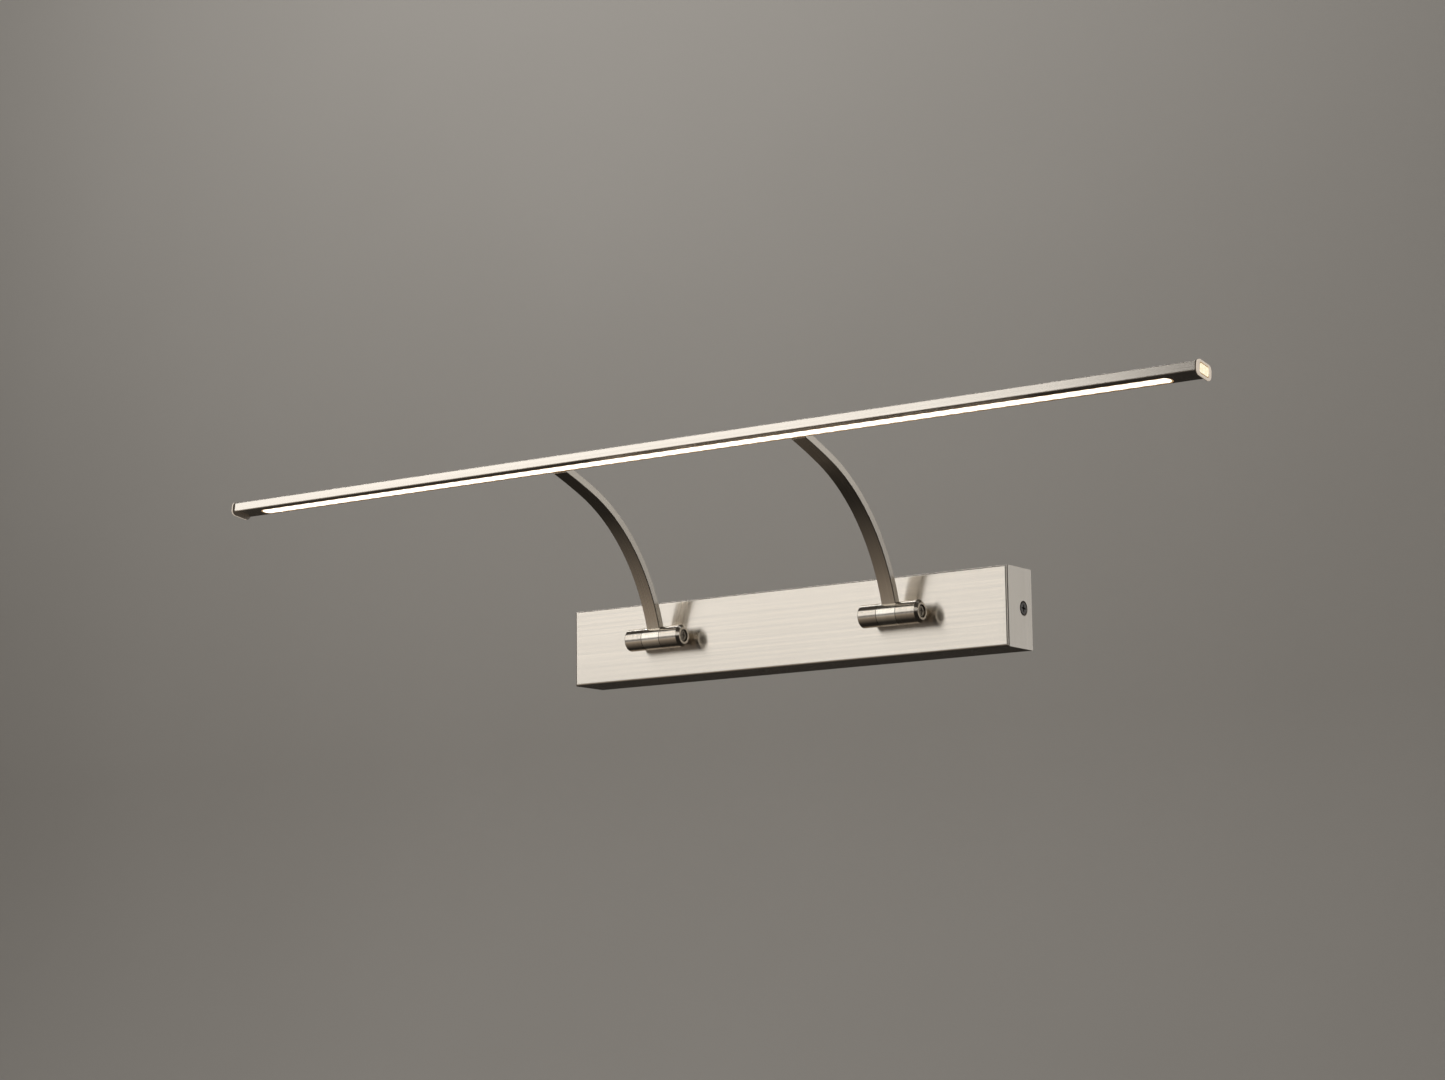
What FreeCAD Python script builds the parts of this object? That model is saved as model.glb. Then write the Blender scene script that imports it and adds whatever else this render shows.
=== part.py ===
import FreeCAD, Part
import math
import os
from FreeCAD import Placement, Rotation, Vector

# A wall-mounted picture light. Millimetres, +Z up, X along the light bar, -Y towards the room.
# The origin is the middle of the cover, on the wall's plane. The bar, both arms and their
# barrels tilt together about one axis along X, through the two knuckles.

# Cover and wall bracket
COVER_LENGTH = 276.6
COVER_HEIGHT = 41.7
COVER_DEPTH = 24.8
COVER_WALL = 1.2
COVER_EDGE_RADIUS = 1.2
PLATE = 1.5
PLATE_HEIGHT = 33.0
TAB_GAP = 0.2
TAB_HEIGHT = 20.0
TAB_DEPTH = 15.0
WALL_SLOT_X = 105.0
WALL_SLOT_LENGTH = 14.0
WALL_SLOT_WIDTH = 4.5
SIDE_SCREW_Y = -8.5
CABLE_X = 84.0
CABLE_HOLE_RADIUS = 7.0
CABLE_BORE_RADIUS = 4.0

# Knuckles: X values are measured from the arm's own middle plane
ARM_X = 75.2
PIVOT_Y = -33.6
PIVOT_Z = 0.0
BARREL_RADIUS = 6.05
CHEEK_END = 17.9
CHEEK_CHAMFER = 1.5
BARREL_LEFT = -6.35
BARREL_RIGHT = 4.9
FRICTION_WASHER = 0.3
PIVOT_RADIUS = 2.0
RUNNING_GAP = 0.05
FOOT_CLEARANCE = 0.3
FOOT_HALF_HEIGHT = 4.0
STUD_RADIUS = 4.0
STUD_BORE_RADIUS = 2.7
STUD_END_Y = -14.5
NUT_FLATS = 12.0
NUT_THICKNESS = 4.0
LOCK_WASHER = 0.8

# Arms: an arc from the knuckle, then a much larger arc up to the bar's back face
ARM_WIDTH = 8.5
ARM_THICKNESS = 4.3
ARM_RADIUS = 100.9
ARM_TOP_RADIUS = 330.0
ARM_TOP_SLOPE = 18.2
ARM_BLEND_SLOPE = 22.5
ARM_DROP = 0.4
ARM_EDGE = 0.35
ARM_ROOT_RADIUS = 3.2
LEAD_BORE_RADIUS = 0.9
ARM_LEAD_RADIUS = 0.55
ARM_LEAD_REACH = 4.0
CHAMBER_REACH = 2.2

# Light bar: U is depth from the end cap's front, V is height from its underside
BAR_LENGTH = 600.0
BAR_Y = -132.2
BAR_Z = 79.1
BAR_TILT = 7.75
CAP_DEPTH = 14.2
CAP_HEIGHT = 7.6
CAP_RIM = 1.0
CAP_GROOVE = 0.7
CAP_CORNER = 2.8
CAP_FACE_INSET_U = 2.2
CAP_FACE_INSET_V = 1.0
CAP_FACE_GROOVE = 0.6
METAL_DEPTH = 12.5
METAL_HEIGHT = 4.95
METAL_FRONT_U = 0.7
METAL_LOW_V = 1.75
BAR_WALL = 0.8
BAR_CORNER = 0.6
SLOT_LENGTH = 567.0
SLOT_WIDTH = 7.5
SLOT_U = 8.45
DIFFUSER_FLANGE = 0.5
LED_PITCH = 8.0
LED_COUNT = 71
BOARD_THICKNESS = 0.8
LED_BOARD_LENGTH = 576.0
LED_BOARD_FRONT_U = 4.4
LED_BOARD_BACK_U = 11.6
LED_THICKNESS = 0.7
ARM_SCREW_X = 2.6
ARM_SCREW_RADIUS = 0.7
ARM_SCREW_HEAD_RADIUS = 1.05
ARM_SCREW_LENGTH = 4.8
ARM_SCREW_V = 4.15

# Values worked out from the driving dimensions
INNER_FACE_Y = -(COVER_DEPTH - COVER_WALL)
INNER_END_X = COVER_LENGTH / 2 - COVER_WALL
TAB_OUTER_X = INNER_END_X - TAB_GAP
METAL_BACK_U = METAL_FRONT_U + METAL_DEPTH
METAL_HIGH_V = METAL_LOW_V + METAL_HEIGHT
METAL_END_X = BAR_LENGTH / 2 - CAP_RIM - CAP_GROOVE
CAVITY_BACK_U = METAL_BACK_U - BAR_WALL
CAVITY_LOW_V = METAL_LOW_V + BAR_WALL
CAVITY_HIGH_V = METAL_HIGH_V - BAR_WALL
SIDES = {"left": -ARM_X, "right": ARM_X}

X_AXIS = Vector(1, 0, 0)
Y_AXIS = Vector(0, 1, 0)
Z_AXIS = Vector(0, 0, 1)


def block(x0, x1, y0, y1, z0, z1):
    return Part.makeBox(x1 - x0, y1 - y0, z1 - z0, Vector(x0, y0, z0))


def rod_x(radius, x0, x1, y, z):
    return Part.makeCylinder(radius, x1 - x0, Vector(x0, y, z), X_AXIS)


def rod_y(radius, y0, y1, x, z):
    return Part.makeCylinder(radius, y1 - y0, Vector(x, y0, z), Y_AXIS)


def fused(shapes):
    whole = shapes[0]
    for shape in shapes[1:]:
        whole = whole.fuse(shape)
    return whole.removeSplitter()


def group(shapes):
    return Part.makeCompound(shapes)


def split_walls(shape, regions):
    """The shape's walls as separate solids that meet face to face, one for each region."""
    return group([shape.common(region).Solids[0] for region in regions])


def on_both_sides(make):
    """One shape for each arm, kept as separate solids."""
    return group([make(x) for x in SIDES.values()])


def edges_along(shape, axis):
    found = []
    for edge in shape.Edges:
        straight = isinstance(edge.Curve, Part.Line)
        if straight and abs(edge.tangentAt(edge.FirstParameter).dot(axis)) > 0.999:
            found.append(edge)
    return found


def on_bar(shape):
    """Moves a shape drawn as (X, U, V) to the tilted light bar."""
    shape.Placement = Placement(Vector(0, BAR_Y, BAR_Z), Rotation(X_AXIS, -BAR_TILT))
    return shape


def bar_point(u, v):
    """The world (Y, Z) of a point in the light bar's section, as a vector with X zero."""
    tilt = math.radians(BAR_TILT)
    y = BAR_Y + u * math.cos(tilt) + v * math.sin(tilt)
    z = BAR_Z - u * math.sin(tilt) + v * math.cos(tilt)
    return Vector(0, y, z)


def bar_block(x0, x1, u0, u1, v0, v1, corner=0.0):
    shape = block(x0, x1, u0, u1, v0, v1)
    if corner > 0:
        shape = shape.makeFillet(corner, edges_along(shape, X_AXIS))
    return shape


def stadium(length, width, v0, v1):
    """An upright slug with round ends, centred on the light bar's slot, in (X, U, V)."""
    radius = width / 2
    straight = length / 2 - radius
    middle = block(-straight, straight, SLOT_U - radius, SLOT_U + radius, v0, v1)
    ends = []
    for x in (-straight, straight):
        ends.append(Part.makeCylinder(radius, v1 - v0, Vector(x, SLOT_U, v0), Z_AXIS))
    return fused([middle] + ends)


def cross_recess(radius, depth):
    """Two crossed keys at the origin, sunk along -Z from Z zero."""
    half = radius * 0.24
    return fused([
        block(-radius, radius, -half, half, -depth, 0.5),
        block(-half, half, -radius, radius, -depth, 0.5),
    ])


def pan_screw(head_radius, head_height, shank_radius, length):
    """A cross-recess pan-head screw: the head sits on Z zero, and the shank goes down."""
    head = Part.makeCylinder(head_radius, head_height)
    rim = [edge for edge in head.Edges if edge.Closed and edge.CenterOfMass.z > head_height / 2]
    head = head.makeFillet(head_height * 0.45, rim)
    shank = Part.makeCylinder(shank_radius, length, Vector(0, 0, -length))
    recess = cross_recess(head_radius * 0.6, head_height * 0.6)
    recess.translate(Vector(0, 0, head_height))
    return fused([head, shank]).cut(recess)


def facing_room(shape, x, y, z):
    """Turns a screw's head from +Z to -Y and puts its seat at a point."""
    shape.rotate(Vector(0, 0, 0), X_AXIS, 90)
    shape.translate(Vector(x, y, z))
    return shape


def swept(edges, radius):
    """A round rod along edges that follow one another, the first of them straight."""
    first = edges[0]
    start = first.Vertexes[0].Point
    direction = first.Vertexes[1].Point - start
    profile = Part.Wire([Part.Circle(start, direction, radius).toShape()])
    return Part.Wire(edges).makePipeShell([profile], True, False)


def bent_edges(points, bend_radius):
    """Straight runs through the points, joined by tangent arcs."""
    edges = []
    last = points[0]
    for before, corner, after in zip(points, points[1:], points[2:]):
        incoming = (corner - before).normalize()
        outgoing = (after - corner).normalize()
        turn = incoming.getAngle(outgoing)
        reach = bend_radius * math.tan(turn / 2)
        start = corner - incoming * reach
        end = corner + outgoing * reach
        inward = (outgoing - incoming).normalize()
        middle = corner + inward * (bend_radius / math.cos(turn / 2) - bend_radius)
        edges.append(Part.LineSegment(last, start).toShape())
        edges.append(Part.Arc(start, middle, end).toShape())
        last = end
    edges.append(Part.LineSegment(last, points[-1]).toShape())
    return edges


def make_wall_cover():
    half = COVER_LENGTH / 2
    high = COVER_HEIGHT / 2
    shell = block(-half, half, -COVER_DEPTH, 0, -high, high)
    front = [edge for edge in shell.Edges if edge.BoundBox.YMax < -COVER_DEPTH + 0.01]
    shell = shell.makeFillet(COVER_EDGE_RADIUS, front)
    inside = block(-INNER_END_X, INNER_END_X, INNER_FACE_Y, 1, COVER_WALL - high, high - COVER_WALL)
    shell = shell.cut(inside)
    for x in SIDES.values():
        shell = shell.cut(rod_y(STUD_RADIUS + 0.15, -COVER_DEPTH - 1, INNER_FACE_Y + 1, x, 0))
    for side in (-1, 1):
        sink = Part.makeCone(2.1, 3.9, COVER_WALL, Vector(side * INNER_END_X, SIDE_SCREW_Y, 0), X_AXIS * side)
        shell = shell.cut(sink)
    front_wall = block(-half, half, -COVER_DEPTH, INNER_FACE_Y, -high, high)
    left_end = block(-half, -INNER_END_X, INNER_FACE_Y, 0, -high, high)
    right_end = block(INNER_END_X, half, INNER_FACE_Y, 0, -high, high)
    top = block(-INNER_END_X, INNER_END_X, INNER_FACE_Y, 0, high - COVER_WALL, high)
    bottom = block(-INNER_END_X, INNER_END_X, INNER_FACE_Y, 0, -high, COVER_WALL - high)
    return split_walls(shell, [front_wall, left_end, right_end, top, bottom])


def make_wall_bracket():
    half = PLATE_HEIGHT / 2
    bend = 2.0
    strap = block(-TAB_OUTER_X, TAB_OUTER_X, -TAB_DEPTH, 0, -half, half)
    bends = [edge for edge in edges_along(strap, Z_AXIS) if edge.BoundBox.YMin > -0.01]
    strap = strap.makeFillet(bend, bends)
    inner_x = TAB_OUTER_X - PLATE
    strap = strap.cut(block(-inner_x, inner_x, -TAB_DEPTH - 1, -PLATE, -half - 1, half + 1))
    for side in (-1, 1):
        outer = sorted((side * (inner_x - 1), side * (TAB_OUTER_X + 1)))
        for low, high in ((-half - 1, -TAB_HEIGHT / 2), (TAB_HEIGHT / 2, half + 1)):
            strap = strap.cut(block(outer[0], outer[1], -TAB_DEPTH - 1, -bend, low, high))
        tab = sorted((side * (inner_x - 1), side * (TAB_OUTER_X + 1)))
        strap = strap.cut(rod_x(1.75, tab[0], tab[1], SIDE_SCREW_Y, 0))
        straight = WALL_SLOT_LENGTH / 2 - WALL_SLOT_WIDTH / 2
        slot = block(-straight, straight, -PLATE - 1, 1, -WALL_SLOT_WIDTH / 2, WALL_SLOT_WIDTH / 2)
        slot = fused([
            slot,
            rod_y(WALL_SLOT_WIDTH / 2, -PLATE - 1, 1, -straight, 0),
            rod_y(WALL_SLOT_WIDTH / 2, -PLATE - 1, 1, straight, 0),
        ])
        slot.translate(Vector(side * WALL_SLOT_X, 0, 0))
        strap = strap.cut(slot)
    strap = strap.cut(rod_y(CABLE_HOLE_RADIUS, -PLATE - 1, 1, CABLE_X, 0))
    for x, z, radius in fastener_holes():
        strap = strap.cut(rod_y(radius, -PLATE - 1, 1, x, z))
    plate = block(-TAB_OUTER_X, TAB_OUTER_X, -PLATE, 0, -half, half)
    left_tab = block(-TAB_OUTER_X, -inner_x, -TAB_DEPTH, -PLATE, -half, half)
    right_tab = block(inner_x, TAB_OUTER_X, -TAB_DEPTH, -PLATE, -half, half)
    return split_walls(strap, [plate, left_tab, right_tab])


def make_side_screws():
    screws = []
    for side in (-1, 1):
        sink = Part.makeCone(2.05, 3.2, 0.9)
        dome = Part.makeCylinder(3.2, 0.3, Vector(0, 0, 0.9))
        top = [edge for edge in dome.Edges if edge.Closed and edge.CenterOfMass.z > 1.0]
        dome = dome.makeFillet(0.25, top)
        shank = Part.makeCylinder(1.75, 6.0, Vector(0, 0, -6.0))
        recess = cross_recess(2.0, 0.9)
        recess.translate(Vector(0, 0, 1.2))
        screw = fused([sink, dome, shank]).cut(recess)
        screw.rotate(Vector(0, 0, 0), Y_AXIS, 90 * side)
        screw.translate(Vector(side * INNER_END_X, SIDE_SCREW_Y, 0))
        screws.append(screw)
    return group(screws)


# Driver: a tray with a lid, held by two ears
DRIVER_X0 = -57.0
DRIVER_X1 = 21.0
DRIVER_HALF_HEIGHT = 14.0
DRIVER_TRAY_DEPTH = 17.0
DRIVER_WALL = 1.2
DRIVER_LID = 1.5
DRIVER_EAR = 6.0
DRIVER_EAR_THICKNESS = 2.0
LEAD_Y = -8.5
LIVE_Z = 4.0
NEUTRAL_Z = -4.0
EARTH_Z = -12.0
OUTPUT_Z = 11.0
OUTPUT_LEFT_Z = 0.0
LEAD_RADIUS = 0.9
OUTPUT_RADIUS = 0.8
OUTPUT_END_Y = -COVER_DEPTH - 2.3


def driver_ear_x():
    return (DRIVER_X0 - DRIVER_EAR / 2, DRIVER_X1 + DRIVER_EAR / 2)


def make_driver_case():
    back = -PLATE
    front = back - DRIVER_TRAY_DEPTH
    high = DRIVER_HALF_HEIGHT
    tray = block(DRIVER_X0, DRIVER_X1, front, back, -high, high)
    tray = tray.makeFillet(1.0, edges_along(tray, Y_AXIS))
    hollow = block(
        DRIVER_X0 + DRIVER_WALL, DRIVER_X1 - DRIVER_WALL, front - 1, back - DRIVER_WALL,
        -high + DRIVER_WALL, high - DRIVER_WALL,
    )
    tray = tray.cut(hollow)
    pieces = [tray]
    for x in driver_ear_x():
        reach = DRIVER_EAR / 2 + 0.6
        ear = block(x - reach, x + reach, back - DRIVER_EAR_THICKNESS, back, -5, 5)
        pieces.append(ear.cut(hollow))
    for x in (DRIVER_X0 + 4, DRIVER_X1 - 4):
        for z in (-high + 4, high - 4):
            pieces.append(rod_y(2.0, back - 3.5, back - DRIVER_WALL, x, z))
    case = fused(pieces)
    for x in driver_ear_x():
        case = case.cut(rod_y(1.6, back - 3, back + 1, x, 0))
    for z, radius in ((LIVE_Z, LEAD_RADIUS), (NEUTRAL_Z, LEAD_RADIUS), (OUTPUT_Z, OUTPUT_RADIUS)):
        case = case.cut(rod_x(radius + 0.1, DRIVER_X1 - 2, DRIVER_X1 + 1, LEAD_Y, z))
    return case.cut(rod_x(OUTPUT_RADIUS + 0.1, DRIVER_X0 - 1, DRIVER_X0 + 2, LEAD_Y, OUTPUT_LEFT_Z))


def make_driver_lid():
    seat = -PLATE - DRIVER_TRAY_DEPTH
    high = DRIVER_HALF_HEIGHT
    lid = block(DRIVER_X0, DRIVER_X1, seat - DRIVER_LID, seat, -high, high)
    lid = lid.makeFillet(1.0, edges_along(lid, Y_AXIS))
    step = DRIVER_WALL + 0.1
    lip = block(DRIVER_X0 + step, DRIVER_X1 - step, seat, seat + 1.5, -high + step, high - step)
    step = step + 1.0
    hollow = block(DRIVER_X0 + step, DRIVER_X1 - step, seat, seat + 2, -high + step, high - step)
    return fused([lid, lip.cut(hollow)])


BOARD_BACK_Y = -PLATE - 3.5
BOARD_FRONT_Y = BOARD_BACK_Y - 1.6


def make_driver_board():
    high = DRIVER_HALF_HEIGHT - DRIVER_WALL - 0.3
    inset = DRIVER_WALL + 0.3
    return block(DRIVER_X0 + inset, DRIVER_X1 - inset, BOARD_FRONT_Y, BOARD_BACK_Y, -high, high)


def make_driver_transformer():
    core = block(-30, -12, BOARD_FRONT_Y - 9.5, BOARD_FRONT_Y, -8, 8)
    core = core.makeFillet(0.8, edges_along(core, Y_AXIS))
    winding = rod_y(6.0, BOARD_FRONT_Y - 10.2, BOARD_FRONT_Y - 9.5, -21, 0)
    return fused([core, winding])


def make_driver_capacitor():
    can = rod_x(4.5, -7, 9, BOARD_FRONT_Y - 4.5, 0)
    rims = [edge for edge in can.Edges if edge.Closed]
    return can.makeFillet(0.8, rims)


def make_driver_screws():
    screws = []
    for x in driver_ear_x():
        screw = pan_screw(2.8, 1.9, 1.5, DRIVER_EAR_THICKNESS + PLATE - 0.2)
        screws.append(facing_room(screw, x, -PLATE - DRIVER_EAR_THICKNESS, 0))
    return group(screws)


# Terminal block: three poles side by side along Z
TERMINAL_X0 = 40.0
TERMINAL_X1 = 57.0
TERMINAL_Z0 = -17.0
TERMINAL_Z1 = 9.0
TERMINAL_FRONT_Y = -15.0
TUBE_RADIUS = 2.3
TUBE_BORE = 1.4
TERMINAL_SCREW_X = (44.5, 52.5)
TERMINAL_SCREW_RADIUS = 1.5
BLOCK_SCREW_X = 48.5
POLES = (LIVE_Z, NEUTRAL_Z, EARTH_Z)


def make_terminal_block():
    body = block(TERMINAL_X0, TERMINAL_X1, TERMINAL_FRONT_Y, -PLATE, TERMINAL_Z0, TERMINAL_Z1)
    body = body.makeFillet(0.8, edges_along(body, X_AXIS))
    for z in POLES:
        body = body.cut(rod_x(TUBE_RADIUS, TERMINAL_X0 - 1, TERMINAL_X1 + 1, LEAD_Y, z))
        for x in TERMINAL_SCREW_X:
            body = body.cut(rod_y(TERMINAL_SCREW_RADIUS + 0.2, TERMINAL_FRONT_Y - 1, LEAD_Y, x, z))
    for z in (0.0, -8.0):
        body = body.cut(block(TERMINAL_X0 - 1, TERMINAL_X0 + 2, TERMINAL_FRONT_Y - 1, -10, z - 0.5, z + 0.5))
        body = body.cut(block(TERMINAL_X1 - 2, TERMINAL_X1 + 1, TERMINAL_FRONT_Y - 1, -10, z - 0.5, z + 0.5))
    body = body.cut(rod_y(1.4, TERMINAL_FRONT_Y - 1, 0, BLOCK_SCREW_X, 0))
    return body.cut(rod_y(1.65, TERMINAL_FRONT_Y - 1, -5.0, BLOCK_SCREW_X, 0))


def terminal_screw_shapes():
    screws = []
    for z in POLES:
        for x in TERMINAL_SCREW_X:
            screws.append(rod_y(TERMINAL_SCREW_RADIUS, -13.8, LEAD_Y - LEAD_RADIUS, x, z))
    return screws


def make_terminal_tubes():
    tubes = []
    for z in POLES:
        tube = rod_x(TUBE_RADIUS, TERMINAL_X0 + 0.8, TERMINAL_X1 - 0.8, LEAD_Y, z)
        tube = tube.cut(rod_x(TUBE_BORE, TERMINAL_X0, TERMINAL_X1, LEAD_Y, z))
        for screw in terminal_screw_shapes():
            tube = tube.cut(screw)
        tubes.append(tube)
    return group(tubes)


def make_terminal_screws():
    screws = []
    for screw in terminal_screw_shapes():
        box = screw.BoundBox
        slot = block(
            box.Center.x - 2, box.Center.x + 2, box.YMin - 1, box.YMin + 0.8,
            box.Center.z - 0.25, box.Center.z + 0.25,
        )
        screws.append(screw.cut(slot))
    return group(screws)


def make_terminal_block_screw():
    screw = fused([
        rod_y(1.6, -6.6, -5.0, BLOCK_SCREW_X, 0),
        rod_y(1.35, -5.0, -0.2, BLOCK_SCREW_X, 0),
    ])
    slot = block(BLOCK_SCREW_X - 2, BLOCK_SCREW_X + 2, -7, -6.0, -0.25, 0.25)
    return screw.cut(slot)


# Earth point
EARTH_X = 31.0
EARTH_POINT_Z = 8.0
EARTH_WASHER = 0.6
EARTH_RING = 0.8
EARTH_BARREL_Y = -PLATE - EARTH_WASHER - EARTH_RING - 0.5


def make_earth_washer():
    back = -PLATE
    washer = rod_y(4.0, back - EARTH_WASHER, back, EARTH_X, EARTH_POINT_Z)
    washer = washer.cut(rod_y(2.1, back - 2, back + 1, EARTH_X, EARTH_POINT_Z))
    for turn in range(8):
        notch = block(3.3, 4.5, back - 2, back + 1, -0.35, 0.35)
        notch.rotate(Vector(0, 0, 0), Y_AXIS, turn * 45)
        notch.translate(Vector(EARTH_X, 0, EARTH_POINT_Z))
        washer = washer.cut(notch)
    return washer


def make_earth_ring_terminal():
    back = -PLATE - EARTH_WASHER
    front = back - EARTH_RING
    ring = rod_y(3.8, front, back, EARTH_X, EARTH_POINT_Z)
    neck = block(EARTH_X - 1.4, EARTH_X + 1.4, front, back, -1.0, EARTH_POINT_Z - 3)
    barrel = Part.makeCylinder(1.5, 4.8, Vector(EARTH_X, EARTH_BARREL_Y, -1.2), Z_AXIS)
    terminal = fused([ring, neck, barrel])
    terminal = terminal.cut(Part.makeCylinder(LEAD_RADIUS, 6.0, Vector(EARTH_X, EARTH_BARREL_Y, -2), Z_AXIS))
    return terminal.cut(rod_y(2.1, front - 3, back + 1, EARTH_X, EARTH_POINT_Z))


def make_earth_screw():
    seat = -PLATE - EARTH_WASHER - EARTH_RING
    screw = pan_screw(3.5, 2.2, 1.9, -seat - 0.2)
    return facing_room(screw, EARTH_X, seat, EARTH_POINT_Z)


def fastener_holes():
    """Threaded holes in the bracket's plate: X, Z and radius."""
    holes = [(x, 0, 1.5) for x in driver_ear_x()]
    holes.append((EARTH_X, EARTH_POINT_Z, 1.9))
    holes.append((BLOCK_SCREW_X, 0, 1.35))
    return holes


def make_cable_grommet():
    seat = rod_y(CABLE_HOLE_RADIUS, -PLATE, 0, CABLE_X, 0)
    flange = rod_y(CABLE_HOLE_RADIUS + 1.8, -PLATE - 2.5, -PLATE, CABLE_X, 0)
    rim = [edge for edge in flange.Edges if edge.Closed and edge.CenterOfMass.y < -PLATE - 2]
    flange = flange.makeFillet(1.0, rim)
    return fused([seat, flange]).cut(rod_y(CABLE_BORE_RADIUS, -10, 1, CABLE_X, 0))


def make_knuckle_base(x):
    """A fork: two round cheeks on a foot that stands on the cover, open between them for the barrel."""
    left = BARREL_LEFT - FRICTION_WASHER
    right = BARREL_RIGHT + FRICTION_WASHER
    foot_y = PIVOT_Y + BARREL_RADIUS + FOOT_CLEARANCE
    high = FOOT_HALF_HEIGHT
    foot = block(-15, 14, foot_y, -COVER_DEPTH, -high, high)
    necks = block(-15, 14, PIVOT_Y, foot_y, -high, high).cut(
        block(left, right, PIVOT_Y - 1, foot_y, -high - 1, high + 1)
    )
    stand = fused([foot, necks])
    stand = stand.makeFillet(1.5, [e for e in edges_along(stand, Y_AXIS) if abs(e.CenterOfMass.x) > 13])
    left_cheek = rod_x(BARREL_RADIUS, -CHEEK_END, left, PIVOT_Y, PIVOT_Z)
    outer = [edge for edge in left_cheek.Edges if edge.Closed and edge.CenterOfMass.x < left - 1]
    left_cheek = left_cheek.makeFillet(0.6, outer)
    right_cheek = rod_x(BARREL_RADIUS, right, CHEEK_END, PIVOT_Y, PIVOT_Z)
    outer = [edge for edge in right_cheek.Edges if edge.Closed and edge.CenterOfMass.x > right + 1]
    right_cheek = right_cheek.makeChamfer(CHEEK_CHAMFER, outer)
    base = fused([stand, left_cheek, right_cheek])
    base = base.cut(rod_x(PIVOT_RADIUS, -14.2, left + 1, PIVOT_Y, PIVOT_Z))
    base = base.cut(rod_x(PIVOT_RADIUS + RUNNING_GAP, right - 1, CHEEK_END, PIVOT_Y, PIVOT_Z))
    base = base.cut(rod_x(3.45, 16.0, CHEEK_END + 1, PIVOT_Y, PIVOT_Z))
    base = base.cut(rod_y(STUD_RADIUS, stud_start_y(), -COVER_DEPTH + 1, 0, 0))
    base = base.cut(rod_y(1.5, foot_y - 1, -COVER_DEPTH + 1, 0, 0))
    base.translate(Vector(x, 0, 0))
    return base


def stud_start_y():
    return -COVER_DEPTH - 2.0


def make_stud(x):
    stud = rod_y(STUD_RADIUS, stud_start_y(), STUD_END_Y, x, 0)
    ends = [edge for edge in stud.Edges if edge.Closed and edge.CenterOfMass.y > STUD_END_Y - 1]
    stud = stud.makeChamfer(0.5, ends)
    return stud.cut(rod_y(STUD_BORE_RADIUS, stud_start_y() - 1, STUD_END_Y + 1, x, 0))


def make_lock_washer(x):
    washer = rod_y(6.4, INNER_FACE_Y, INNER_FACE_Y + LOCK_WASHER, x, 0)
    washer = washer.cut(rod_y(STUD_RADIUS + 0.2, INNER_FACE_Y - 1, INNER_FACE_Y + 2, x, 0))
    return washer.cut(block(x - 0.4, x + 0.4, INNER_FACE_Y - 1, INNER_FACE_Y + 2, 0, 8))


def make_stud_nut(x):
    y0 = INNER_FACE_Y + LOCK_WASHER
    corner = NUT_FLATS / math.sqrt(3)
    points = []
    for turn in range(7):
        angle = math.radians(60 * turn)
        points.append(Vector(x + corner * math.cos(angle), y0, corner * math.sin(angle)))
    nut = Part.Face(Part.makePolygon(points)).extrude(Vector(0, NUT_THICKNESS, 0))
    return nut.cut(rod_y(STUD_RADIUS, y0 - 1, y0 + NUT_THICKNESS + 1, x, 0))


def make_friction_washers():
    washers = []
    for x in SIDES.values():
        for start in (x + BARREL_LEFT - FRICTION_WASHER, x + BARREL_RIGHT):
            end = start + FRICTION_WASHER
            disc = rod_x(BARREL_RADIUS - 0.5, start, end, PIVOT_Y, PIVOT_Z)
            washers.append(disc.cut(rod_x(PIVOT_RADIUS + RUNNING_GAP, start - 1, end + 1, PIVOT_Y, PIVOT_Z)))
    return group(washers)


def make_pivot_screw(x):
    screw = pan_screw(3.2, 1.4, PIVOT_RADIUS, 30.0)
    screw.rotate(Vector(0, 0, 0), Y_AXIS, 90)
    screw.translate(Vector(x + 16.0, PIVOT_Y, PIVOT_Z))
    return screw


def arm_centres():
    """Centres of the upper and lower arcs of the arm's underside, with X zero."""
    top = bar_point(METAL_BACK_U, METAL_LOW_V - ARM_DROP)
    upper = top - slope_normal(ARM_TOP_SLOPE) * ARM_TOP_RADIUS
    lower = upper + slope_normal(ARM_BLEND_SLOPE) * (ARM_TOP_RADIUS - ARM_RADIUS)
    return upper, lower


def slope_normal(slope):
    """The outward normal of the arm where its slope down to the wall is this many degrees."""
    angle = math.radians(slope)
    return Vector(0, math.sin(angle), math.cos(angle))


def pivot_slope():
    """The arm's slope where its lower arc passes the pivot axis."""
    lower = arm_centres()[1]
    return math.degrees(math.atan2(PIVOT_Y - lower.y, PIVOT_Z - lower.z))


def arm_arcs(offset, first_slope, last_slope):
    """Two tangent arcs at a distance outside the arm's underside, from the bar towards the wall."""
    upper, lower = arm_centres()
    arcs = []
    for centre, radius, start, end in (
        (upper, ARM_TOP_RADIUS, first_slope, ARM_BLEND_SLOPE),
        (lower, ARM_RADIUS, ARM_BLEND_SLOPE, last_slope),
    ):
        points = []
        for slope in (start, (start + end) / 2, end):
            points.append(centre + slope_normal(slope) * (radius + offset))
        arcs.append(Part.Arc(points[0], points[1], points[2]).toShape())
    return arcs


def arm_lead_edges():
    """From the circuit board's underside into the arm, and along its middle to the barrel's chamber."""
    middle = ARM_THICKNESS / 2
    entry = arm_centres()[0] + slope_normal(ARM_TOP_SLOPE) * (ARM_TOP_RADIUS + middle)
    along = slope_normal(ARM_TOP_SLOPE).cross(X_AXIS).normalize()
    run = Part.LineSegment(entry - along * ARM_LEAD_REACH, entry).toShape()
    return [run] + arm_arcs(middle, ARM_TOP_SLOPE, pivot_slope() - CHAMBER_REACH)


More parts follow.
